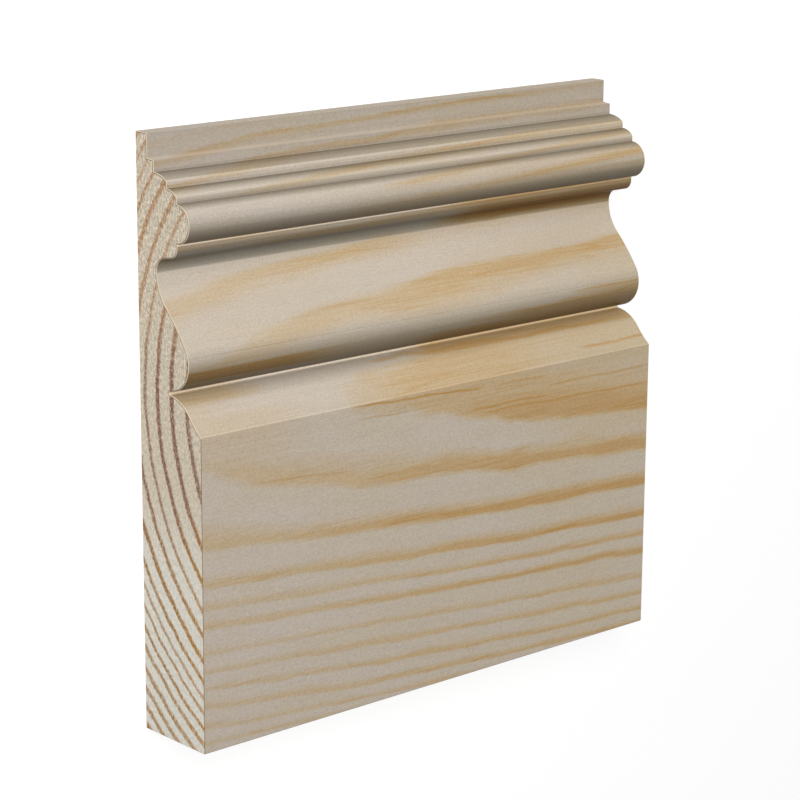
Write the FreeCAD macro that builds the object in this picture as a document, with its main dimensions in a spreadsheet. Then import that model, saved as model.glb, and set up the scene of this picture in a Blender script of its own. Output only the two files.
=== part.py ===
# A short length of moulded skirting board: one piece of solid softwood with a
# flat back, a square foot, a tall plain face and a moulding run along the top.
# The board lies on its back with the moulding facing up: X runs along the
# grain, Y towards the top edge of the board and Z out of its back. All sizes
# are in millimetres.
import FreeCAD
import Part
import os
import Sketcher
from math import acos, atan2, cos, pi, sin, sqrt

Vector = FreeCAD.Vector

# Heights and falls are taken down the face, thicknesses and depths square to it
SIZES = {
    # the planed board
    "board_length": 173.5,
    "board_height": 169.0,
    "board_thickness": 27.0,
    "foot_round": 0.5,
    # the square top edge and the plain band below it
    "top_thickness": 5.0,
    "top_round": 0.4,
    "band_height": 6.7,
    # the sloping ledge and the narrow fillet that it lands on
    "ledge_fall": 0.3,
    "ledge_out": 2.8,
    "fillet_height": 3.1,
    # the two part rounds that step out below the fillet, each with a flat under it;
    # beyond is how much more the round's radius is than its step
    "upper_ovolo_out": 5.65,
    "upper_ovolo_beyond": 4.15,
    "upper_edge_round": 1.0,
    "upper_flat_height": 1.4,
    "lower_ovolo_out": 4.2,
    "lower_ovolo_beyond": 1.6,
    "lower_edge_round": 1.2,
    "lower_flat_height": 1.3,
    # the half round bead, the short neck under it and the round drip
    "bead_radius": 5.4,
    "neck_height": 1.2,
    "drip_radius": 3.0,
    # the ogee: a small hollow opens into a deep cove that ramps out to a full nose;
    # a fall or a run here is what is left over from the rounds at its two ends
    "soffit_fall": 0.5,
    "hollow_radius": 3.9,
    "cove_depth": 9.25,
    "cove_radius": 12.8,
    "ramp_radius": 62.0,
    "ramp_run": 2.55,
    "nose_rise": 13.6,
    "nose_radius": 8.3,
    # the sunk quirk under the nose and the round that swells out of it to the face
    "quirk_depth": 8.8,
    "quirk_radius": 0.55,
    "base_ovolo_radius": 11.9,
    "base_ovolo_in": 2.3,
    "sweep_radius": 24.0,
    "face_fall": 18.95,
    "face_edge_round": 0.5,
}

doc = FreeCAD.newDocument("skirting")

# The sheet of driving sizes
sheet = doc.addObject("Spreadsheet::Sheet", "Sizes")
for row, (alias, value) in enumerate(SIZES.items(), start=1):
    sheet.set("A%d" % row, alias.replace("_", " "))
    sheet.set("B%d" % row, str(value))
    sheet.setAlias("B%d" % row, alias)
doc.recompute()


def mm(alias):
    return float(sheet.get(alias))


# The board, with a sketch of its section on the plane square to the grain
board = doc.addObject("PartDesign::Body", "skirting_board")
board.Label = "skirting_board"
section_plane = next(f for f in board.Origin.OriginFeatures if f.Role == "YZ_Plane")
section = board.newObject("Sketcher::SketchObject", "moulded_section")
section.AttachmentSupport = [(section_plane, "")]
section.MapMode = "FlatFace"


def point(up, out):
    """A point of the section: up the board and out of its back."""
    return Vector(up, out, 0)


def towards(start, goal, distance):
    """The point at a distance from start on the way to goal."""
    way = goal - start
    return start + way * (distance / way.Length)


def eased(centre, radius, step, edge_radius):
    """The centre of the eased edge that ends a round where it has stepped out."""
    out = step - edge_radius
    return centre + point(sqrt((radius - edge_radius)**2 - out**2), out)


def meeting(first, first_reach, second, second_reach, left):
    """Where two circles cross, left or right of the way between their centres."""
    way = second - first
    along = (first_reach**2 - second_reach**2 + way.Length**2) / (2 * way.Length)
    aside = sqrt(first_reach**2 - along**2) * (1 if left else -1)
    unit = way / way.Length
    return first + unit * along + point(-unit.y, unit.x) * aside


def line(start, end):
    """A straight stretch, with the ends where the outline enters and leaves it."""
    return section.addGeometry(Part.LineSegment(start, end), False), 1, 2


def arc(centre, start, end, hollow=False):
    """A round stretch; the outline runs clockwise round a hollow one."""
    turn = [atan2(p.y - centre.y, p.x - centre.x) for p in (start, end)]
    if hollow:
        turn.reverse()
    if turn[1] < turn[0]:
        turn[1] += 2 * pi
    circle = Part.Circle(centre, Vector(0, 0, 1), (start - centre).Length)
    piece = section.addGeometry(Part.ArcOfCircle(circle, *turn), False)
    return (piece, 2, 1) if hollow else (piece, 1, 2)


def entry(stretch):
    return stretch[0], stretch[1]


def leaving(stretch):
    return stretch[0], stretch[2]


def centre(stretch):
    """A sketch counts the centre of a round as its third point."""
    return stretch[0], 3


def drive(name, kind, points, expression):
    """A dimension of the section, bound to the sheet."""
    value = section.evalExpression(expression)
    added = section.addConstraint(Sketcher.Constraint(kind, *points, value))
    section.renameConstraint(added, name)
    section.setExpression(".Constraints." + name, expression)


def span(alias, lower, upper, expression=None):
    """How far one point lies down the face from another."""
    drive(alias, "DistanceX", lower + upper, expression or "Sizes." + alias)


def rise(alias, inner, outer, expression=None):
    """How far one point stands out from another."""
    drive(alias, "DistanceY", inner + outer, expression or "Sizes." + alias)


def radius(alias, rounded, expression=None):
    drive(alias, "Radius", rounded[:1], expression or "Sizes." + alias)


# Where the stretches of the top edge, band, ledge and fillet begin and end
top = mm("board_height") / 2
back_foot = point(-top, 0)
back_top = point(top, 0)
top_round_at = point(top - mm("top_round"), mm("top_thickness") - mm("top_round"))
top_edge_end = point(top, top_round_at.y)
band_start = point(top_round_at.x, mm("top_thickness"))
band_end = point(top - mm("band_height"), mm("top_thickness"))
ledge_end = band_end + point(-mm("ledge_fall"), mm("ledge_out"))
fillet_end = ledge_end - point(mm("fillet_height"), 0)

# Each ovolo starts square to the surface above it and ends in an eased edge
upper_radius = mm("upper_ovolo_out") + mm("upper_ovolo_beyond")
upper_at = fillet_end - point(upper_radius, 0)
upper_edge_at = eased(upper_at, upper_radius, mm("upper_ovolo_out"), mm("upper_edge_round"))
upper_edge_start = towards(upper_at, upper_edge_at, upper_radius)
upper_edge_end = upper_edge_at + point(0, mm("upper_edge_round"))
upper_flat_end = upper_edge_end - point(mm("upper_flat_height"), 0)
lower_radius = mm("lower_ovolo_out") + mm("lower_ovolo_beyond")
lower_at = upper_flat_end - point(lower_radius, 0)
lower_edge_at = eased(lower_at, lower_radius, mm("lower_ovolo_out"), mm("lower_edge_round"))
lower_edge_start = towards(lower_at, lower_edge_at, lower_radius)
lower_edge_end = lower_edge_at + point(0, mm("lower_edge_round"))

# The bead is half proud of the surface that the neck goes on from
bead_start = lower_edge_end - point(mm("lower_flat_height"), 0)
bead_at = bead_start - point(mm("bead_radius"), 0)
bead_end = bead_at - point(mm("bead_radius"), 0)
neck_end = bead_end - point(mm("neck_height"), 0)

# The flat soffit touches the drip above it and the hollow behind it
drip_at = neck_end - point(0, mm("drip_radius"))
to_cove = mm("drip_radius") + mm("hollow_radius") + mm("soffit_fall")
cove_start = neck_end - point(to_cove, mm("cove_depth"))
hollow_at = cove_start + point(0, mm("hollow_radius"))
across = hollow_at - drip_at
facing = atan2(across.y, across.x)
facing -= acos((mm("drip_radius") + mm("hollow_radius")) / across.Length)
soffit_normal = point(cos(facing), sin(facing))
soffit_start = drip_at + soffit_normal * mm("drip_radius")
soffit_end = hollow_at - soffit_normal * mm("hollow_radius")

# The cove runs through the barely rounded ramp into the nose
cove_at = cove_start + point(0, mm("cove_radius"))
to_nose = mm("cove_radius") + mm("nose_radius") + mm("ramp_run")
nose_at = cove_start + point(-to_nose, mm("nose_rise") - mm("nose_radius"))
ramp_at = meeting(cove_at, mm("cove_radius") + mm("ramp_radius"),
                  nose_at, mm("ramp_radius") - mm("nose_radius"), left=True)
cove_end = towards(cove_at, ramp_at, mm("cove_radius"))
nose_start = towards(ramp_at, nose_at, mm("ramp_radius"))

# The quirk rolls off the nose and the base ovolo rolls off the quirk
quirk_out = cove_start.y + mm("nose_rise") - mm("quirk_depth") + mm("quirk_radius")
nose_to_quirk = mm("nose_radius") + mm("quirk_radius")
quirk_at = point(nose_at.x - sqrt(nose_to_quirk**2 - (nose_at.y - quirk_out)**2), quirk_out)
nose_end = towards(nose_at, quirk_at, mm("nose_radius"))
base_out = mm("board_thickness") - mm("base_ovolo_in") - mm("base_ovolo_radius")
quirk_to_base = mm("quirk_radius") + mm("base_ovolo_radius")
base_at = point(quirk_at.x - sqrt(quirk_to_base**2 - (quirk_out - base_out)**2), base_out)
base_start = towards(quirk_at, base_at, mm("quirk_radius"))

# The sweep turns the base ovolo out to the edge of the plain face
face_start = point(nose_at.x - mm("face_fall"), mm("board_thickness"))
face_edge_at = face_start - point(0, mm("face_edge_round"))
sweep_at = meeting(base_at, mm("base_ovolo_radius") + mm("sweep_radius"),
                   face_edge_at, mm("face_edge_round") + mm("sweep_radius"), left=False)
base_end = towards(base_at, sweep_at, mm("base_ovolo_radius"))
sweep_end = towards(face_edge_at, sweep_at, mm("face_edge_round"))
foot_round_at = point(mm("foot_round") - top, mm("board_thickness") - mm("foot_round"))
face_end = point(foot_round_at.x, mm("board_thickness"))
foot_start = point(-top, foot_round_at.y)

# The outline, up the back, over the top and down the moulding to the foot
back = line(back_foot, back_top)
top_edge = line(back_top, top_edge_end)
top_round = arc(top_round_at, top_edge_end, band_start)
band = line(band_start, band_end)
ledge = line(band_end, ledge_end)
fillet = line(ledge_end, fillet_end)
upper_ovolo = arc(upper_at, fillet_end, upper_edge_start)
upper_edge = arc(upper_edge_at, upper_edge_start, upper_edge_end)
upper_flat = line(upper_edge_end, upper_flat_end)
lower_ovolo = arc(lower_at, upper_flat_end, lower_edge_start)
lower_edge = arc(lower_edge_at, lower_edge_start, lower_edge_end)
lower_flat = line(lower_edge_end, bead_start)
bead = arc(bead_at, bead_start, bead_end)
neck = line(bead_end, neck_end)
drip = arc(drip_at, neck_end, soffit_start)
soffit = line(soffit_start, soffit_end)
hollow = arc(hollow_at, soffit_end, cove_start, hollow=True)
cove = arc(cove_at, cove_start, cove_end, hollow=True)
ramp = arc(ramp_at, cove_end, nose_start)
nose = arc(nose_at, nose_start, nose_end)
quirk = arc(quirk_at, nose_end, base_start, hollow=True)
base_ovolo = arc(base_at, base_start, base_end)
sweep = arc(sweep_at, base_end, sweep_end, hollow=True)
face_edge = arc(face_edge_at, sweep_end, face_start)
face = line(face_start, face_end)
foot_round = arc(foot_round_at, face_end, foot_start)
foot_edge = line(foot_start, back_foot)

# Stretches run smoothly into each other, but for those that end in a corner
outline = [
    back, top_edge, top_round, band, ledge, fillet,
    upper_ovolo, upper_edge, upper_flat, lower_ovolo, lower_edge, lower_flat,
    bead, neck, drip, soffit, hollow, cove, ramp, nose, quirk,
    base_ovolo, sweep, face_edge, face, foot_round, foot_edge,
]
cornered = [back, band, ledge, fillet, upper_flat, lower_flat, bead, foot_edge]
for here, beyond in zip(outline, outline[1:] + outline[:1]):
    kind = "Coincident" if here in cornered else "Tangent"
    section.addConstraint(Sketcher.Constraint(kind, *leaving(here), *entry(beyond)))

for level in (back, band, fillet, upper_flat, lower_flat, neck, face):
    section.addConstraint(Sketcher.Constraint("Horizontal", level[0]))
for upright in (top_edge, foot_edge):
    section.addConstraint(Sketcher.Constraint("Vertical", upright[0]))
for rounded in (upper_ovolo, lower_ovolo, bead):
    section.addConstraint(Sketcher.Constraint("Horizontal", *centre(rounded), *entry(rounded)))
section.addConstraint(Sketcher.Constraint("Horizontal", *centre(bead), *leaving(bead)))
section.addConstraint(Sketcher.Constraint("Vertical", *centre(cove), *entry(cove)))
# The back is halved by the sketch's own origin, the first point of its first axis
section.addConstraint(Sketcher.Constraint("Symmetric", *entry(back), *leaving(back), -1, 1))

span("board_height", entry(back), leaving(back))
radius("top_round", top_round)
rise("top_thickness", leaving(back), entry(band))
span("band_height", leaving(band), leaving(back))
span("ledge_fall", leaving(ledge), leaving(band))
rise("ledge_out", leaving(band), leaving(ledge))
span("fillet_height", leaving(fillet), leaving(ledge))

radius("upper_ovolo_beyond", upper_ovolo, "Sizes.upper_ovolo_out + Sizes.upper_ovolo_beyond")
radius("upper_edge_round", upper_edge)
rise("upper_ovolo_out", leaving(fillet), entry(upper_flat))
span("upper_flat_height", leaving(upper_flat), entry(upper_flat))
radius("lower_ovolo_beyond", lower_ovolo, "Sizes.lower_ovolo_out + Sizes.lower_ovolo_beyond")
radius("lower_edge_round", lower_edge)
rise("lower_ovolo_out", leaving(upper_flat), entry(lower_flat))
span("lower_flat_height", leaving(lower_flat), entry(lower_flat))
radius("bead_radius", bead)
span("neck_height", leaving(neck), entry(neck))

radius("drip_radius", drip)
radius("hollow_radius", hollow)
span("soffit_fall", entry(cove), leaving(neck),
     "Sizes.drip_radius + Sizes.hollow_radius + Sizes.soffit_fall")
rise("cove_depth", entry(cove), leaving(neck))
radius("cove_radius", cove)
radius("ramp_radius", ramp)
span("ramp_run", centre(nose), entry(cove),
     "Sizes.cove_radius + Sizes.nose_radius + Sizes.ramp_run")
rise("nose_rise", entry(cove), centre(nose), "Sizes.nose_rise - Sizes.nose_radius")
radius("nose_radius", nose)

rise("quirk_depth", entry(cove), centre(quirk),
     "Sizes.nose_rise - Sizes.quirk_depth + Sizes.quirk_radius")
radius("quirk_radius", quirk)
radius("base_ovolo_radius", base_ovolo)
rise("base_ovolo_in", centre(base_ovolo), entry(face),
     "Sizes.base_ovolo_radius + Sizes.base_ovolo_in")
radius("sweep_radius", sweep)
span("face_fall", entry(face), centre(nose))
rise("board_thickness", entry(back), entry(face))
radius("face_edge_round", face_edge)
radius("foot_round", foot_round)

# The section is run along the grain, half to each side of the middle
length = board.newObject("PartDesign::Pad", "planed_length")
length.Profile = section
length.SideType = "Symmetric"
length.setExpression("Length", "Sizes.board_length")
board.Placement = FreeCAD.Placement()
doc.recompute()

# Nothing is written unless the section is fully fixed and every shape is sound
if section.DoF != 0:
    raise RuntimeError("the section is free to move: %d" % section.DoF)
for item in doc.Objects:
    if "Invalid" in item.State or "Error" in item.State:
        raise RuntimeError("%s did not compute: %s" % (item.Name, item.State))
if board.Shape.isNull() or not board.Shape.isValid():
    raise RuntimeError("the board has no sound shape")

os.makedirs("parts", exist_ok=True)
board.Shape.exportStep("parts/%s.step" % board.Label)
box = board.Shape.BoundBox
print("%s: %.2f x %.2f x %.2f mm, %.1f cm3" % (
    board.Label, box.XLength, box.YLength, box.ZLength, board.Shape.Volume / 1000))
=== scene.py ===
import math

import bpy
from mathutils import Matrix, Vector


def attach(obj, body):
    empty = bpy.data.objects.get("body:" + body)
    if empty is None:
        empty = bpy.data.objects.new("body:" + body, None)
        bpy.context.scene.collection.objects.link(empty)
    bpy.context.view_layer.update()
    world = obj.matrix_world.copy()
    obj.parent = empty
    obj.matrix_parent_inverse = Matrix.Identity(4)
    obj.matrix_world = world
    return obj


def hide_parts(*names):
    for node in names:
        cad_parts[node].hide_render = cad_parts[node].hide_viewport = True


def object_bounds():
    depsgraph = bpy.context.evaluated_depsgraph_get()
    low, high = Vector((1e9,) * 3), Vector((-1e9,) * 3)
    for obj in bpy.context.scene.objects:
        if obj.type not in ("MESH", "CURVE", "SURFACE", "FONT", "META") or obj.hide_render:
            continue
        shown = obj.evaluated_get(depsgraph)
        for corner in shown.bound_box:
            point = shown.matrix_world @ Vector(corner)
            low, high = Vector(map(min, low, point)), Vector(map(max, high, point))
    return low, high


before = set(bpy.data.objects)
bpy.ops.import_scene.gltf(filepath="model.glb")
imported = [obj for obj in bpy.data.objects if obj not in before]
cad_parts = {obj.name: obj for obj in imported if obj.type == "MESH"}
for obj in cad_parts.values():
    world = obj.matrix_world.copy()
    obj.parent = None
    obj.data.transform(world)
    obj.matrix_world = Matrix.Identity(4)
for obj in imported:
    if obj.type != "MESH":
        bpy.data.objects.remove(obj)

cad_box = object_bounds()


# The board
# One length of kiln-dried pine, run through a four-side moulder that cuts the face to its section, then cut
# to length with a fine crosscut saw. The sawn ends keep their corner, barely softened by handling.

board_length, board_height, board_thickness = (1000 * side for side in cad_box[1] - cad_box[0])
same_point = 0.000001
flat_within = math.radians(0.2)
facing_end = 0.99
corner_softening = 0.00015
saw_rim = 0.00022
smooth_below = math.radians(25)

bpy.ops.object.select_all(action="DESELECT")
cad_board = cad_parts["skirting_board"]
board = bpy.data.objects.new("planed_board", cad_board.data.copy())
bpy.context.collection.objects.link(board)
board.select_set(True)
bpy.context.view_layer.objects.active = board

bpy.ops.object.mode_set(mode="EDIT")
bpy.ops.mesh.customdata_custom_splitnormals_clear()
bpy.ops.mesh.select_all(action="SELECT")
bpy.ops.mesh.remove_doubles(threshold=same_point)
bpy.ops.mesh.dissolve_limited(angle_limit=flat_within)
bpy.ops.mesh.select_mode(type="FACE")


def select_ends():
    bpy.ops.mesh.select_all(action="DESELECT")
    bpy.ops.object.mode_set(mode="OBJECT")
    for face in board.data.polygons:
        face.select = abs(face.normal.x) > facing_end
    bpy.ops.object.mode_set(mode="EDIT")


select_ends()
bpy.ops.mesh.dissolve_faces()
select_ends()
bpy.ops.mesh.region_to_loop()
bpy.ops.mesh.bevel(offset=corner_softening, segments=1, affect="EDGES", clamp_overlap=False)
bpy.ops.mesh.select_mode(type="FACE")
select_ends()
bpy.ops.mesh.inset(thickness=saw_rim, depth=0)
bpy.ops.object.mode_set(mode="OBJECT")

bpy.ops.object.shade_smooth_by_angle(angle=smooth_below)
weighted = board.modifiers.new("flats stay flat", "WEIGHTED_NORMAL")
weighted.keep_sharp = True
bpy.ops.object.modifier_apply(modifier=weighted.name)


# Growth rings
# The board was sawn beside the heart of the tree, whose line runs in front of the moulded face and comes
# nearer to it towards the right-hand end. Each ring is a shell round that line: pale early wood, then late
# wood that darkens to a sharp outer edge. A ring is given by the two edges of its late wood and its depth.

heart_drift = (0, -0.035, -0.0844)
heart_bend = (0, 0.00001, 0.000149)
early_share = 0.6
room_inside, room_outside = 8, 4
just_before = 0.01


def add_node(tree, kind, inputs, **settings):
    node = tree.nodes.new(kind)
    for name, value in settings.items():
        setattr(node, name, value)
    for name, value in inputs.items():
        if isinstance(value, bpy.types.NodeSocket):
            tree.links.new(value, node.inputs[name])
        else:
            node.inputs[name].default_value = value
    return node


def set_stops(ramp, stops):
    while len(ramp.elements) < len(stops):
        ramp.elements.new(1)
    for element, (place, value) in zip(ramp.elements, stops):
        element.position = place
        element.color = (value, value, value, 1)


def growth_rings(tree, place, heart, rings, nudge, wobbles, profile):
    along = add_node(tree, "ShaderNodeSeparateXYZ", {0: place}).outputs[0]
    bend = add_node(tree, "ShaderNodeVectorMath", {0: along, 1: heart_bend, 2: heart_drift},
                    operation="MULTIPLY_ADD")
    line = add_node(tree, "ShaderNodeVectorMath", {0: along, 1: bend.outputs[0], 2: heart},
                    operation="MULTIPLY_ADD")
    away = add_node(tree, "ShaderNodeVectorMath", {0: place, 1: line.outputs[0]}, operation="SUBTRACT")
    away = add_node(tree, "ShaderNodeVectorMath", {0: away.outputs[0], 1: (0, 1, 1)}, operation="MULTIPLY")
    radius = add_node(tree, "ShaderNodeVectorMath", {0: away.outputs[0]}, operation="LENGTH").outputs[1]
    radius = add_node(tree, "ShaderNodeMath", {0: radius, 1: nudge}, operation="ADD").outputs[0]
    for reach, length, width in wobbles:
        grain = add_node(tree, "ShaderNodeMapping", {
            "Vector": place, "Scale": (1 / length, 1 / width, 1 / width)}).outputs[0]
        noise = add_node(tree, "ShaderNodeTexNoise", {"Vector": grain, "Scale": 1, "Detail": 1}).outputs[0]
        shift = add_node(tree, "ShaderNodeMapRange", {"Value": noise, "To Min": -reach, "To Max": reach})
        radius = add_node(tree, "ShaderNodeMath", {0: radius, 1: shift.outputs[0]},
                          operation="ADD").outputs[0]
    inmost = rings[0][0] - room_inside
    outmost = rings[-1][1] + room_outside
    share = add_node(tree, "ShaderNodeMapRange", {
        "Value": radius, "From Min": inmost, "From Max": outmost}).outputs[0]
    count = len(rings) + 1
    edges = [(0, 0)]
    depth = []
    for number, (dark_from, dark_to, strength) in enumerate(rings):
        start = (dark_from - inmost) / (outmost - inmost)
        stop = (dark_to - inmost) / (outmost - inmost)
        edges += [(start, (number + early_share) / count), (stop, (number + 1) / count)]
        depth += [(start - just_before, strength)]
    edges += [(1, 1)]
    spread = add_node(tree, "ShaderNodeValToRGB", {0: share})
    set_stops(spread.color_ramp, edges)
    turn = add_node(tree, "ShaderNodeMath", {0: spread.outputs[0], 1: count}, operation="MULTIPLY")
    part = add_node(tree, "ShaderNodeMath", {0: turn.outputs[0]}, operation="FRACT")
    darken = add_node(tree, "ShaderNodeValToRGB", {0: part.outputs[0]})
    set_stops(darken.color_ramp, profile)
    strong = add_node(tree, "ShaderNodeValToRGB", {0: share})
    set_stops(strong.color_ramp, depth)
    strong.color_ramp.interpolation = "CONSTANT"
    return add_node(tree, "ShaderNodeMath", {0: darken.outputs[0], 1: strong.outputs[0]},
                    operation="MULTIPLY").outputs[0]


# Sawn end grain
# The saw crosses the fibres, so the end drinks the light differently: paler, dry and speckled early wood,
# and thin late-wood arcs, purplish brown in the middle of the board and orange brown lower down.

end_heart = (0, 98.8, 82.4)
end_rings = [
    (60.5, 61.9, 0.9), (67.4, 68.8, 1.0), (73.7, 75.0, 1.0), (79.4, 80.4, 0.8), (84.4, 85.7, 0.9),
    (89.9, 91.3, 1.0), (95.0, 96.1, 0.9), (98.9, 99.8, 0.7), (102.5, 103.4, 0.8), (106.5, 107.5, 0.9),
    (110.1, 111.4, 0.8), (114.6, 116.0, 0.8), (118.6, 120.0, 0.8), (122.6, 124.0, 0.8)]


def linear_colour(hex_colour):
    channels = [int(hex_colour[place:place + 2], 16) / 255 for place in (1, 3, 5)]
    return [c / 12.92 if c <= 0.04045 else ((c + 0.055) / 1.055) ** 2.4 for c in channels] + [1]


def start_material(name):
    material = bpy.data.materials.new(name)
    material.use_nodes = True
    material.node_tree.nodes.clear()
    return material, material.node_tree


def place_in_mm(tree):
    corner = (board_length / 2, board_height / 2, 0)
    coordinates = add_node(tree, "ShaderNodeTexCoord", {})
    return add_node(tree, "ShaderNodeMapping", {
        "Vector": coordinates.outputs["Object"],
        "Location": corner,
        "Scale": (1000, 1000, 1000)}).outputs[0]


sawn_end, tree = start_material("sawn_end_grain")
place = place_in_mm(tree)
y, z = add_node(tree, "ShaderNodeSeparateXYZ", {0: place}).outputs[1:]
late = growth_rings(tree, place, end_heart, end_rings, 0,
                    wobbles=((0.5, 45, 11), (0.4, 13, 5), (0.5, 11, 0.7)),
                    profile=[(0, 0.8), (0.07, 0), (0.54, 0), (0.66, 0.9), (0.8, 1), (1, 1)])
lower = add_node(tree, "ShaderNodeMapRange", {
    "Value": y, "From Min": 45, "From Max": 75, "To Min": 1, "To Max": 0},
    interpolation_type="SMOOTHSTEP").outputs[0]
upper = add_node(tree, "ShaderNodeMapRange", {
    "Value": y, "From Min": 100, "From Max": 130}, interpolation_type="SMOOTHSTEP").outputs[0]
early = add_node(tree, "ShaderNodeMix", {
    0: lower, 6: linear_colour("#C9BDA9"), 7: linear_colour("#D4D0C5")}, data_type="RGBA").outputs[2]
brown = add_node(tree, "ShaderNodeMix", {
    0: lower, 6: linear_colour("#7C5642"), 7: linear_colour("#966A22")}, data_type="RGBA").outputs[2]
brown = add_node(tree, "ShaderNodeMix", {
    0: upper, 6: brown, 7: linear_colour("#AC8763")}, data_type="RGBA").outputs[2]
golden = add_node(tree, "ShaderNodeMapRange", {
    "Value": z, "From Min": 12, "From Max": 27, "To Max": lower}).outputs[0]
brown = add_node(tree, "ShaderNodeMix", {
    0: golden, 6: brown, 7: linear_colour("#A87210")}, data_type="RGBA").outputs[2]

# Cut fibres stand up as pale flecks, longest near the top edge; they are drawn about twice their real size.
fleck = add_node(tree, "ShaderNodeMapping", {"Vector": place, "Scale": (1, 0.7, 1.5)})
fleck = add_node(tree, "ShaderNodeTexNoise", {
    "Vector": fleck.outputs[0], "Scale": 1, "Detail": 3, "Roughness": 0.75}).outputs[0]
pore = add_node(tree, "ShaderNodeTexNoise", {"Vector": place, "Scale": 1.6, "Detail": 3, "Roughness": 0.7})
pore = pore.outputs[0]
bite = add_node(tree, "ShaderNodeMapRange", {
    "Value": fleck, "From Min": 0.35, "From Max": 0.65, "To Min": 1.3, "To Max": 0.62}).outputs[0]
late = add_node(tree, "ShaderNodeMath", {0: late, 1: bite}, operation="MULTIPLY", use_clamp=True).outputs[0]
colour = add_node(tree, "ShaderNodeMix", {0: late, 6: early, 7: brown}, data_type="RGBA").outputs[2]
coarse = add_node(tree, "ShaderNodeMapRange", {
    "Value": fleck, "From Min": 0.36, "From Max": 0.64, "To Min": 0.66, "To Max": 1.3}).outputs[0]
fine = add_node(tree, "ShaderNodeMapRange", {
    "Value": pore, "From Min": 0.3, "From Max": 0.7, "To Min": 0.76, "To Max": 1.24}).outputs[0]
rough = add_node(tree, "ShaderNodeMapRange", {
    "Value": y, "From Min": 50, "From Max": 130, "To Min": 0.4, "To Max": 1}).outputs[0]
shade = add_node(tree, "ShaderNodeMath", {0: coarse, 1: fine}, operation="MULTIPLY").outputs[0]
shade = add_node(tree, "ShaderNodeMix", {0: rough, 2: 1, 3: shade}).outputs[0]
colour = add_node(tree, "ShaderNodeVectorMath", {0: colour, 1: shade}, operation="MULTIPLY").outputs[0]
relief = add_node(tree, "ShaderNodeBump", {"Strength": 0.5, "Distance": 0.0001, "Height": pore}).outputs[0]
skin = add_node(tree, "ShaderNodeBsdfPrincipled", {
    "Base Color": colour, "Roughness": 0.8, "IOR": 1.45, "Normal": relief})
add_node(tree, "ShaderNodeOutputMaterial", {0: skin.outputs[0]})


# Planed pine
# Scots pine straight off the cutter block: a dull silky surface, greyish cream early wood, honey late wood
# that spreads into broad flames where the cut runs nearly along a ring, and a fine nap of lifted fibres.

face_heart = (0, 94, 53 + board_thickness)
face_rings = [
    (44.4, 48.9, 0.82), (52.3, 54.5, 0.8), (59.2, 61.7, 0.92), (66.9, 69.0, 0.85), (72.1, 73.7, 0.65),
    (76.4, 78.0, 0.82), (82.6, 83.9, 0.55), (87.3, 89.0, 0.66), (92.4, 93.8, 0.74), (96.5, 98.0, 0.74),
    (100.5, 101.8, 0.62), (103.6, 104.8, 0.62), (106.6, 107.6, 0.6)]
no_limit = 200
planed_bands = [(0, 0.9), (0.1, 0), (0.5, 0), (0.7, 0.55), (0.84, 1), (1, 1)]

planed_pine, tree = start_material("planed_pine")
place = place_in_mm(tree)
x, y, z = add_node(tree, "ShaderNodeSeparateXYZ", {0: place}).outputs


def between(tree, value, low, high, soft, inside=1):
    """Inside between low and high, and nought outside them beyond a soft edge."""
    rise = add_node(tree, "ShaderNodeMapRange", {
        "Value": value, "From Min": low - soft, "From Max": low, "To Max": inside}).outputs[0]
    return add_node(tree, "ShaderNodeMapRange", {
        "Value": value, "From Min": high, "From Max": high + soft, "To Min": rise, "To Max": 0}).outputs[0]


def patch(tree, value, span, other, other_span, inside=1):
    """Inside where both values lie in their spans, each given as low, high and the width of its soft edge."""
    return between(tree, value, *span, inside=between(tree, other, *other_span, inside=inside))


# The moulded side takes its rings as they would lie on one flat face. Near the left end the flames above the
# middle dip, the two inmost rings start as pointed tongues and drift in towards the right, and above the
# bead the rings crowd together and climb less steeply.
crowding = (-0.0225, 0.074, 0)
crowding_start = 5.6
tongue_height = 90
tongue_taper = 0.065
dip = add_node(tree, "ShaderNodeMapRange", {
    "Value": x, "From Max": 40, "To Min": 2, "To Max": 0}, interpolation_type="SMOOTHSTEP").outputs[0]
dip = between(tree, y, 110, no_limit, 12, inside=dip)
dip = add_node(tree, "ShaderNodeMath", {0: y, 1: dip}, operation="ADD")
front = add_node(tree, "ShaderNodeCombineXYZ", {0: x, 1: dip.outputs[0], 2: board_thickness}).outputs[0]
crowd = add_node(tree, "ShaderNodeVectorMath", {0: place, 1: crowding},
                 operation="DOT_PRODUCT").outputs[1]
crowd = add_node(tree, "ShaderNodeMath", {0: crowd, 1: crowding_start}, operation="SUBTRACT").outputs[0]
crowd = add_node(tree, "ShaderNodeMapRange", {
    "Value": y, "From Min": 134, "From Max": 146, "To Max": crowd},
    interpolation_type="SMOOTHSTEP").outputs[0]
drift = patch(tree, y, (66, 110, 10), x, (88, no_limit, 32), 1.6)
nudge = add_node(tree, "ShaderNodeMath", {0: crowd, 1: drift}, operation="ADD").outputs[0]
point = add_node(tree, "ShaderNodeMath", {0: y, 1: tongue_height}, operation="SUBTRACT").outputs[0]
point = add_node(tree, "ShaderNodeMath", {0: point}, operation="ABSOLUTE").outputs[0]
point = patch(tree, y, (78, 102, 6), x, (52, 58, 30), point)
nudge = add_node(tree, "ShaderNodeMath", {0: point, 1: tongue_taper, 2: nudge},
                 operation="MULTIPLY_ADD").outputs[0]

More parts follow.
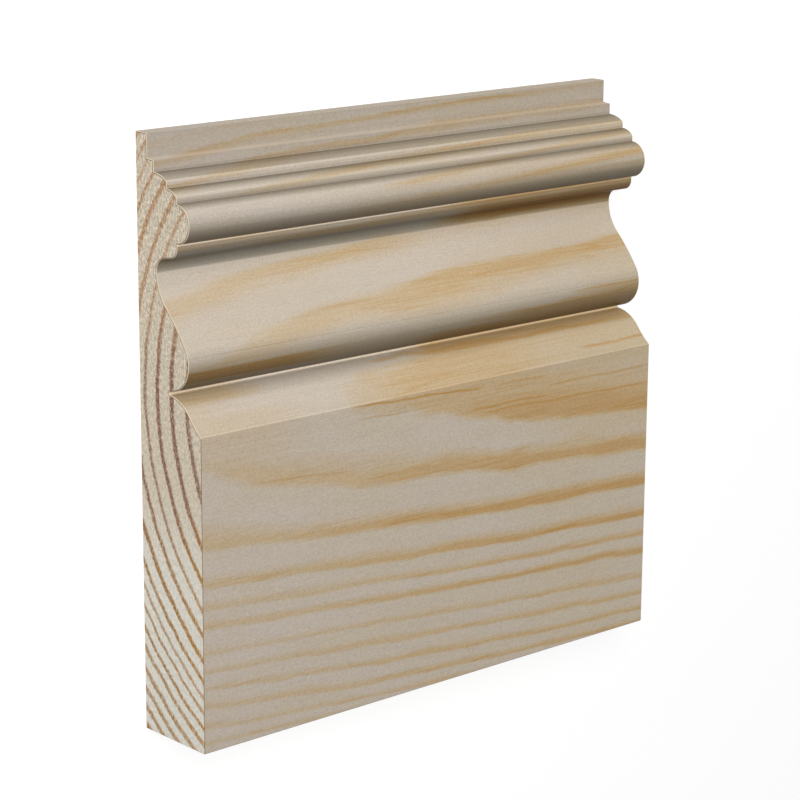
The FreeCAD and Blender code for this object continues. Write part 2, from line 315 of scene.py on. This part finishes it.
# On the flat face the bands in its upper part fall less steeply than the heart line makes them, and the
# lowest ones more steeply.
pivot = 98
lean = add_node(tree, "ShaderNodeMath", {0: x, 1: pivot}, operation="SUBTRACT").outputs[0]
for low, high, soft, share in ((48, 60, 16, 0.0167), (11, 18, 8, -0.0145)):
    turned = between(tree, y, low, high, soft, inside=lean)
    nudge = add_node(tree, "ShaderNodeMath", {0: turned, 1: share, 2: nudge},
                     operation="MULTIPLY_ADD").outputs[0]
for moved in (between(tree, y, 14, 44, 4, inside=0.22), between(tree, y, -1, 7, 4, inside=-0.5)):
    nudge = add_node(tree, "ShaderNodeMath", {0: nudge, 1: moved}, operation="ADD").outputs[0]
late = growth_rings(tree, front, face_heart, face_rings, nudge,
                    wobbles=((0.9, 45, 11), (0.45, 13, 5), (0.38, 10, 0.5)), profile=planed_bands)

# The late wood is stronger towards the right-hand end and weaker on the mouldings, and it fades in the
# places listed here. The tongue of the inmost ring is one even honey tone.
strength = add_node(tree, "ShaderNodeMapRange", {
    "Value": x, "From Max": 150, "To Min": 0.52, "To Max": 1.02}, interpolation_type="SMOOTHSTEP").outputs[0]
weak = add_node(tree, "ShaderNodeMapRange", {
    "Value": x, "From Min": 10, "From Max": 140, "To Min": 0.52, "To Max": 0.85}).outputs[0]
above_bead = add_node(tree, "ShaderNodeMapRange", {
    "Value": y, "From Min": 134, "From Max": 146}, interpolation_type="SMOOTHSTEP").outputs[0]
strength = add_node(tree, "ShaderNodeMix", {0: above_bead, 2: strength, 3: weak}).outputs[0]
for loss in (patch(tree, y, (-1, 14, 4), x, (110, no_limit, 30), 0.15),
             patch(tree, y, (98, 130, 4), x, (-1, 90, 40), 0.14),
             patch(tree, y, (98, 130, 4), x, (130, no_limit, 40), 0.22),
             patch(tree, y, (89, 96, 3), x, (135, no_limit, 35), 0.6),
             patch(tree, y, (127, 132.3, 4), x, (100, no_limit, 30), 0.6),
             patch(tree, y, (138.6, 141, 0.5), x, (55, 90, 15), 0.3),
             between(tree, y, 141.5, 151.5, 0.5, inside=0.6),
             patch(tree, y, (156.4, 158.4, 0.5), x, (152, no_limit, 20), 0.4),
             patch(tree, y, (161.8, 164.2, 0.5), x, (115, no_limit, 20), 0.4),
             patch(tree, y, (166, no_limit, 0.8), x, (152, no_limit, 20), 0.5),
             patch(tree, y, (165.5, no_limit, 0.8), x, (-1, 24, 14), 0.35)):
    strength = add_node(tree, "ShaderNodeMath", {0: strength, 1: loss}, operation="SUBTRACT").outputs[0]
late = add_node(tree, "ShaderNodeMath", {0: late, 1: strength},
                operation="MULTIPLY", use_clamp=True).outputs[0]
most = add_node(tree, "ShaderNodeMapRange", {
    "Value": x, "From Min": 54, "From Max": 76, "To Min": 0.2, "To Max": 0.54}).outputs[0]
even = add_node(tree, "ShaderNodeMath", {0: late, 1: most}, operation="MINIMUM").outputs[0]
late = add_node(tree, "ShaderNodeMix", {0: between(tree, y, 83.5, 100.5, 5), 2: late, 3: even}).outputs[0]

# Flames fill the right half of the small hollow, the neck and bead above it and the nose under it, and the
# top of the lowest curve, and two on the bead climb to the right.
bead_climb = 1 / 18
climb = add_node(tree, "ShaderNodeMath", {0: x, 1: -bead_climb, 2: y},
                 operation="MULTIPLY_ADD").outputs[0]
for flame in (patch(tree, climb, (139.9, 140.4, 1.7), x, (130, no_limit, 90), 0.62),
              patch(tree, climb, (144.9, 145.5, 0.8), x, (80, no_limit, 14), 0.45),
              patch(tree, y, (133.4, 138.1, 2.4), x, (112, no_limit, 17)),
              patch(tree, y, (138.3, 140, 0.6), x, (150, no_limit, 12), 0.65),
              patch(tree, y, (139, 140.2, 0.5), x, (-1, 36, 20), 0.28),
              patch(tree, y, (103.4, 106, 0.9), x, (-1, 34, 28), 0.95),
              patch(tree, y, (101.5, 104, 0.9), x, (92, no_limit, 12), 0.7),
              patch(tree, y, (104, 106.5, 0.9), x, (128, no_limit, 30), 0.65),
              patch(tree, y, (107.9, 109.4, 1.1), x, (158, no_limit, 16), 0.48),
              patch(tree, y, (82, 92, 3), x, (-1, 24, 20), 0.22),
              patch(tree, y, (97.4, 99, 0.8), x, (92, no_limit, 12), 0.75),
              patch(tree, y, (97.2, 99, 0.8), x, (-1, 16, 14), 0.5)):
    late = add_node(tree, "ShaderNodeMath", {0: late, 1: flame}, operation="MAXIMUM").outputs[0]

# The back, the foot and the top edge show the same rings as the sawn ends, more faintly.
side_depth = 0.2
side_strength = 0.75
outer_side = between(tree, z, -1, side_depth, side_depth)
for side in (between(tree, y, -1, side_depth, side_depth),
             between(tree, y, board_height - side_depth, no_limit, side_depth)):
    outer_side = add_node(tree, "ShaderNodeMath", {0: outer_side, 1: side}, operation="MAXIMUM").outputs[0]
moulded_side = add_node(tree, "ShaderNodeMath", {0: 1, 1: outer_side}, operation="SUBTRACT").outputs[0]
solid = growth_rings(tree, place, end_heart, end_rings, 0,
                     wobbles=((0.5, 45, 11), (0.4, 13, 5), (0.3, 11, 0.5)), profile=planed_bands)
solid = add_node(tree, "ShaderNodeMapRange", {
    "Value": y, "From Min": 120, "From Max": 160, "To Min": solid, "To Max": 0.08}).outputs[0]
solid = add_node(tree, "ShaderNodeMath", {0: solid, 1: side_strength}, operation="MULTIPLY").outputs[0]
late = add_node(tree, "ShaderNodeMix", {0: outer_side, 2: late, 3: solid}).outputs[0]

fibre = add_node(tree, "ShaderNodeMapping", {"Vector": place, "Scale": (1 / 22, 1 / 0.45, 1 / 0.45)})
fibre = add_node(tree, "ShaderNodeTexNoise", {
    "Vector": fibre.outputs[0], "Scale": 1, "Detail": 3, "Roughness": 0.6}).outputs[0]
fibre_depth = add_node(tree, "ShaderNodeMapRange", {
    "Value": fibre, "From Min": 0.3, "From Max": 0.7, "To Min": 0.82, "To Max": 1.12}).outputs[0]
late = add_node(tree, "ShaderNodeMath", {0: late, 1: fibre_depth}, operation="MULTIPLY").outputs[0]

# Thin orange fibres run through the late wood, and a few long resin threads lie in and beside the tongue of
# the inmost ring. A thread is given by where it starts and stops, its height at the start, its fall and its
# depth of colour.
needle_depth = 0.6
thread_half = 0.1
thread_sway = 1.6
needle = add_node(tree, "ShaderNodeMapping", {"Vector": place, "Scale": (1 / 60, 1 / 2.2, 1 / 2.2)})
needle = add_node(tree, "ShaderNodeTexNoise", {
    "Vector": needle.outputs[0], "Scale": 1, "Detail": 0}).outputs[0]
needle = between(tree, needle, 0.6, 0.61, 0.035, inside=late)
needle = add_node(tree, "ShaderNodeMath", {0: needle, 1: needle_depth}, operation="MULTIPLY").outputs[0]
waver = add_node(tree, "ShaderNodeMapping", {"Vector": place, "Scale": (1 / 15, 1 / 30, 0)})
waver = add_node(tree, "ShaderNodeTexNoise", {"Vector": waver.outputs[0], "Scale": 1, "Detail": 2}).outputs[0]
for start, stop, height, fall, depth in (
        (58, 100, 89.3, 0.045, 0.85), (60, 70, 85.4, 0.02, 0.5), (112, 127, 86.9, 0, 0.4),
        (102, 126, 81.2, 0.02, 0.75), (106, 170, 79.6, 0.03, 0.6), (134, 170, 83.6, 0.01, 0.55),
        (150, 174, 92.2, 0, 0.7), (72, 160, 98.4, 0.009, 0.5), (24, 48, 73.5, 0.08, 0.4),
        (150, 174, 109.4, 0, 0.4)):
    level = add_node(tree, "ShaderNodeMath", {0: x, 1: fall, 2: y}, operation="MULTIPLY_ADD").outputs[0]
    level = add_node(tree, "ShaderNodeMath", {0: waver, 1: thread_sway, 2: level},
                     operation="MULTIPLY_ADD").outputs[0]
    at = height + fall * start + thread_sway / 2
    thread = patch(tree, level, (at - thread_half, at + thread_half, 0.4), x, (start, stop, 6), fibre_depth)
    thread = add_node(tree, "ShaderNodeMath", {0: thread, 1: depth}, operation="MULTIPLY").outputs[0]
    needle = add_node(tree, "ShaderNodeMath", {0: needle, 1: thread}, operation="MAXIMUM").outputs[0]
needle = add_node(tree, "ShaderNodeMath", {0: needle, 1: moulded_side}, operation="MULTIPLY").outputs[0]

# Early wood turns from cream to a yellower tint towards the right, most beside the tongue; late wood turns
# from straw to orange as it darkens.
cloud = add_node(tree, "ShaderNodeMapping", {"Vector": place, "Scale": (1 / 40, 1 / 9, 1 / 9)})
cloud = add_node(tree, "ShaderNodeTexNoise", {"Vector": cloud.outputs[0], "Scale": 1, "Detail": 2}).outputs[0]
tint = add_node(tree, "ShaderNodeMapRange", {
    "Value": x, "From Max": board_length, "To Min": -0.38, "To Max": -0.08}).outputs[0]
tint = add_node(tree, "ShaderNodeMath", {0: tint, 1: cloud}, operation="ADD").outputs[0]
for beside in (patch(tree, y, (88, 101, 2), x, (150, no_limit, 40), 0.6),
               patch(tree, y, (66, 73, 3), x, (145, no_limit, 25), 0.5),
               patch(tree, y, (107, 116, 5), x, (140, no_limit, 50), 0.2)):
    tint = add_node(tree, "ShaderNodeMath", {0: tint, 1: beside}, operation="ADD", use_clamp=True).outputs[0]
early = add_node(tree, "ShaderNodeMix", {
    0: tint, 6: linear_colour("#BAAFA2"), 7: linear_colour("#B8A88D")}, data_type="RGBA").outputs[2]
straw = add_node(tree, "ShaderNodeMapRange", {"Value": late, "From Max": 0.6}).outputs[0]
orange = add_node(tree, "ShaderNodeMapRange", {"Value": late, "From Min": 0.5, "From Max": 1.1}).outputs[0]
colour = add_node(tree, "ShaderNodeMix", {0: straw, 6: early, 7: linear_colour("#B69E79")},
                  data_type="RGBA").outputs[2]
colour = add_node(tree, "ShaderNodeMix", {0: orange, 6: colour, 7: linear_colour("#AB844E")},
                  data_type="RGBA").outputs[2]
colour = add_node(tree, "ShaderNodeMix", {0: needle, 6: colour, 7: linear_colour("#A97F3A")},
                  data_type="RGBA").outputs[2]

# The nap is finer than a pixel, so its speckle is drawn at half a millimetre, about twice its real size.
nap = add_node(tree, "ShaderNodeMapping", {"Vector": place, "Scale": (1 / 0.6, 1 / 0.4, 1 / 0.4)})
nap = add_node(tree, "ShaderNodeTexNoise", {"Vector": nap.outputs[0], "Scale": 1, "Detail": 2}).outputs[0]
shade = add_node(tree, "ShaderNodeMapRange", {
    "Value": nap, "From Min": 0.25, "From Max": 0.75, "To Min": 0.87, "To Max": 1.13}).outputs[0]
fibre_shade = add_node(tree, "ShaderNodeMapRange", {
    "Value": fibre, "From Min": 0.25, "From Max": 0.75, "To Min": 1.04, "To Max": 0.96}).outputs[0]
shade = add_node(tree, "ShaderNodeMath", {0: shade, 1: fibre_shade}, operation="MULTIPLY").outputs[0]

# Painted shade for the fall of light on the steep parts of the section: darker on the upper slopes, most in
# the corner under each step, and a little all along the foot, the top band, the top edge, the neck, beside
# the small hollow and at the right-hand end of the mouldings. A painted highlight keeps a strip under the
# bead and the nose lighter.
tilt = add_node(tree, "ShaderNodeTexCoord", {}).outputs["Normal"]
tilt = add_node(tree, "ShaderNodeSeparateXYZ", {0: tilt}).outputs[1]
painted_slope_shade = add_node(tree, "ShaderNodeMapRange", {
    "Value": tilt, "From Min": 0.76, "From Max": 0.96, "To Max": 0.53}).outputs[0]
painted_slope_shade = patch(tree, y, (138, 168, 0.5), z, (8.3, no_limit, 0.3), painted_slope_shade)
painted_low_slope_shade = add_node(tree, "ShaderNodeMapRange", {
    "Value": tilt, "From Min": 0.75, "To Max": 0.36}).outputs[0]
painted_low_slope_shade = between(tree, y, 90, 102, 2, inside=painted_low_slope_shade)
painted_band_shade = add_node(tree, "ShaderNodeMapRange", {"Value": tilt, "To Min": 0.17, "To Max": 0}).outputs[0]
painted_band_shade = patch(tree, y, (155, no_limit, 2), z, (0.4, 8.1, 0.3), painted_band_shade)
painted_foot_shade = add_node(tree, "ShaderNodeMapRange", {
    "Value": y, "From Max": 70, "To Min": 0.035, "To Max": 0}).outputs[0]
for loss in (painted_slope_shade, painted_low_slope_shade, painted_band_shade, painted_foot_shade,
             patch(tree, y, (158.4, 159.4, 0.3), z, (8, 9.2, 0.8), 0.25),
             patch(tree, y, (154.6, 155.8, 0.3), z, (13.6, 14.6, 0.8), 0.22),
             patch(tree, y, (151.2, 152, 0.3), z, (17.8, 18.2, 0.8), 0.22),
             patch(tree, y, (162.3, 163.6, 0.8), z, (4, 5.1, 0.2), 0.08),
             between(tree, y, 168.7, no_limit, 0.2, inside=0.2),
             patch(tree, y, (133, 134.8, 0.6), z, (8, 10.5, 0.5), 0.12),
             patch(tree, y, (138.8, 140.1, 0.3), z, (17, 18, 0.3), 0.14),
             patch(tree, tilt, (0.12, 0.32, 0.2), z, (19, no_limit, 0.5), 0.07),
             patch(tree, tilt, (0.12, 0.82, 0.2), y, (141, 151.5, 0.5), 0.07),
             patch(tree, tilt, (-0.35, -0.18, 0.12), z, (19, no_limit, 0.5), -0.1),
             patch(tree, y, (90, 152, 3), x, (150, no_limit, 50), 0.05)):
    kept = add_node(tree, "ShaderNodeMath", {0: 1, 1: loss}, operation="SUBTRACT").outputs[0]
    shade = add_node(tree, "ShaderNodeMath", {0: shade, 1: kept}, operation="MULTIPLY").outputs[0]

# Under the rounds the painted shade is a deep brown, and so it is in the small hollow, reddest at its right,
# where the late wood lies in it; on the upper slopes the painted shade takes a yellowish tint.
painted_underside_shade = add_node(tree, "ShaderNodeMapRange", {"Value": tilt, "From Min": 0.2, "From Max": -0.3}).outputs[0]
painted_underside_shade = patch(tree, y, (92, 152, 2), z, (9.6, no_limit, 0.6), painted_underside_shade)
painted_hollow_mask = between(tree, y, 132.1, 137.5, 0.5, inside=moulded_side)
red = patch(tree, y, (134.6, 139, 2), x, (122, no_limit, 24))
shallow = between(tree, y, 130, 133.2, 1.8)
painted_hollow_shade = add_node(tree, "ShaderNodeMix", {
    0: shallow, 6: (0.54, 0.59, 0.64, 1), 7: (0.54, 0.56, 0.54, 1)}, data_type="RGBA").outputs[2]
painted_hollow_shade = add_node(tree, "ShaderNodeMix", {
    0: red, 6: painted_hollow_shade, 7: (0.415, 0.315, 0.12, 1)}, data_type="RGBA").outputs[2]
plain = (1, 1, 1, 1)
for depth, tone in ((painted_underside_shade, (0.48, 0.465, 0.42, 1)), (painted_slope_shade, (1, 0.94, 0.78, 1))):
    depth = add_node(tree, "ShaderNodeMath", {0: depth, 1: painted_hollow_mask},
                     operation="SUBTRACT", use_clamp=True).outputs[0]
    tone = add_node(tree, "ShaderNodeMix", {0: depth, 6: plain, 7: tone}, data_type="RGBA").outputs[2]
    colour = add_node(tree, "ShaderNodeVectorMath", {0: colour, 1: tone}, operation="MULTIPLY").outputs[0]
tone = add_node(tree, "ShaderNodeMix", {0: painted_hollow_mask, 6: plain, 7: painted_hollow_shade}, data_type="RGBA").outputs[2]
colour = add_node(tree, "ShaderNodeVectorMath", {0: colour, 1: tone}, operation="MULTIPLY").outputs[0]

# Painted highlights lie as fine pale lines on sharp edges: the lip of the sunk quirk, the top of the neck,
# the arris of the face. A fine dark line of painted shade along the nose marks where one cutter ends and the
# next begins.
neck_painted_highlight = add_node(tree, "ShaderNodeMapRange", {
    "Value": x, "From Max": board_length, "To Min": 1.05, "To Max": 0.5}).outputs[0]
for line in (patch(tree, y, (99, 101, 0.1), z, (13, 14, 0.2), 0.22),
             patch(tree, y, (140.3, 140.85, 0.15), z, (17.4, 17.9, 0.2), neck_painted_highlight),
             patch(tree, y, (89.75, 90.05, 0.12), z, (26, no_limit, 0.3), 0.1),
             patch(tree, y, (110.2, 110.4, 0.12), z, (20, no_limit, 0.5), -0.14)):
    line = add_node(tree, "ShaderNodeMath", {0: 1, 1: line}, operation="ADD").outputs[0]
    shade = add_node(tree, "ShaderNodeMath", {0: shade, 1: line}, operation="MULTIPLY").outputs[0]
colour = add_node(tree, "ShaderNodeVectorMath", {0: colour, 1: shade}, operation="MULTIPLY").outputs[0]
relief = add_node(tree, "ShaderNodeBump", {"Strength": 0.4, "Distance": 0.00006, "Height": nap}).outputs[0]
skin = add_node(tree, "ShaderNodeBsdfPrincipled", {
    "Base Color": colour, "Roughness": 0.62, "IOR": 1.45, "Specular IOR Level": 0.3, "Normal": relief})
add_node(tree, "ShaderNodeOutputMaterial", {0: skin.outputs[0]})


# Corners of the sawn ends
# A thin dark line lies just inside the outline of the moulded side, and the softened corner beside it carries
# a painted highlight, a fine pale line.

dark_line_material, tree = start_material("dark_saw_edge_line")
skin = add_node(tree, "ShaderNodeBsdfPrincipled", {
    "Base Color": linear_colour("#7E6A56"), "Roughness": 0.8, "IOR": 1.45})
add_node(tree, "ShaderNodeOutputMaterial", {0: skin.outputs[0]})
corner_painted_highlight, tree = start_material("corner_painted_highlight")
skin = add_node(tree, "ShaderNodeBsdfPrincipled", {
    "Base Color": linear_colour("#C8B89E"), "Roughness": 0.7, "IOR": 1.45})
add_node(tree, "ShaderNodeOutputMaterial", {0: skin.outputs[0]})

edge_strip = 0.0004
arris_strip = 0.0005
flat_face_top = 0.005
facing_side = 0.2

board.data.materials.clear()
for material in (planed_pine, sawn_end, dark_line_material, corner_painted_highlight):
    board.data.materials.append(material)
planed, end, dark_line, corner_highlight = range(4)
# The softened corners take the pale painted highlight, except along the flat face, where they take the thin
# dark line, as does the rim along the moulded outline.
for face in board.data.polygons:
    beside_back = face.center.z < edge_strip
    beside_foot = face.center.y < cad_box[0].y + edge_strip
    on_face = face.center.z > cad_box[1].z - arris_strip and face.center.y < flat_face_top
    if abs(face.normal.x) < facing_side:
        face.material_index = planed
    elif abs(face.normal.x) < facing_end:
        face.material_index = dark_line if on_face else corner_highlight
    elif len(face.vertices) > 4 or beside_back or beside_foot or on_face:
        face.material_index = end
    else:
        face.material_index = dark_line

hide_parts("skirting_board")
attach(board, "root")


# Floor, light and camera
# A white table, two large soft lamps beyond the board's top left corner, of which the weaker one throws the
# shadow, a faint third lamp nearly square to the face, and a faint even light from all round. The camera
# looks along and down on the face from beyond the left end.


def seen_directly(tree):
    """One for what the camera sees, straight or in a gloss, and nought for the light that it casts."""
    rays = add_node(tree, "ShaderNodeLightPath", {}).outputs
    direct = rays["Is Camera Ray"]
    for kind in ("Is Glossy Ray", "Is Transmission Ray"):
        direct = add_node(tree, "ShaderNodeMath", {0: direct, 1: rays[kind]}, operation="MAXIMUM").outputs[0]
    return direct


bpy.ops.object.select_all(action="DESELECT")
bpy.ops.mesh.primitive_plane_add(size=8, location=(0, 0, -0.0001))
table = bpy.context.object
table.name = "table"
white_table, tree = start_material("white_table")
matt = add_node(tree, "ShaderNodeBsdfDiffuse", {"Color": (0.6, 0.6, 0.6, 1)})
glow = add_node(tree, "ShaderNodeEmission", {"Color": (1, 1, 1, 1), "Strength": 0.47})
both = add_node(tree, "ShaderNodeAddShader", {0: matt.outputs[0], 1: glow.outputs[0]})
choice = add_node(tree, "ShaderNodeMixShader", {
    0: seen_directly(tree), 1: matt.outputs[0], 2: both.outputs[0]})
add_node(tree, "ShaderNodeOutputMaterial", {0: choice.outputs[0]})
table.data.materials.append(white_table)

world = bpy.data.worlds.new("studio")
bpy.context.scene.world = world
world.use_nodes = True
tree = world.node_tree
tree.nodes.clear()
even = add_node(tree, "ShaderNodeBackground", {"Color": (1, 1, 1, 1), "Strength": 0.04})
white = add_node(tree, "ShaderNodeBackground", {"Color": (1, 1, 1, 1), "Strength": 1})
choice = add_node(tree, "ShaderNodeMixShader", {
    0: seen_directly(tree), 1: even.outputs[0], 2: white.outputs[0]})
add_node(tree, "ShaderNodeOutputWorld", {0: choice.outputs[0]})


def add_softbox(name, lean_up, lean_left, away, size, level, shadow):
    up, left = math.radians(lean_up), math.radians(lean_left)
    towards = Vector((-math.sin(left), math.cos(left) * math.sin(up), math.cos(left) * math.cos(up)))
    lamp = bpy.data.lights.new(name, "AREA")
    lamp.shape = "SQUARE"
    lamp.size = size
    lamp.energy = level * math.pi ** 2 * away ** 2
    lamp.use_shadow = shadow
    holder = bpy.data.objects.new(name, lamp)
    aim = towards.to_track_quat("Z", "Y").to_matrix().to_4x4()
    holder.matrix_world = Matrix.Translation(away * towards) @ aim
    bpy.context.collection.objects.link(holder)


add_softbox("key_softbox", lean_up=40, lean_left=28.5, away=4.0, size=1.6, level=1.04, shadow=False)
add_softbox("shadow_softbox", lean_up=30, lean_left=30, away=4.0, size=1.6, level=0.25, shadow=True)
add_softbox("front_softbox", lean_up=10, lean_left=10, away=4.0, size=1.2, level=0.06, shadow=True)

photo_pixels = 800
focal_pixels = 2660
sensor_width = 36
camera_place = (-0.5017, 0.18885, 0.57185)
swing, tip, roll = math.radians(41.72), math.radians(14.19), math.radians(-0.35)

looking = Vector((math.sin(swing) * math.cos(tip), -math.sin(tip), -math.cos(swing) * math.cos(tip)))
level_right = Vector((math.cos(swing), 0, math.sin(swing)))
level_down = looking.cross(level_right)
right = math.cos(roll) * level_right + math.sin(roll) * level_down
down = math.cos(roll) * level_down - math.sin(roll) * level_right
camera = bpy.data.cameras.new("photograph_view")
camera.sensor_width = sensor_width
camera.lens = focal_pixels / photo_pixels * sensor_width
holder = bpy.data.objects.new("photograph_view", camera)
aim = Matrix((right, -down, -looking)).transposed().to_4x4()
holder.matrix_world = Matrix.Translation(camera_place) @ aim
bpy.context.collection.objects.link(holder)
bpy.context.scene.camera = holder
bpy.context.scene.view_settings.view_transform = "Standard"
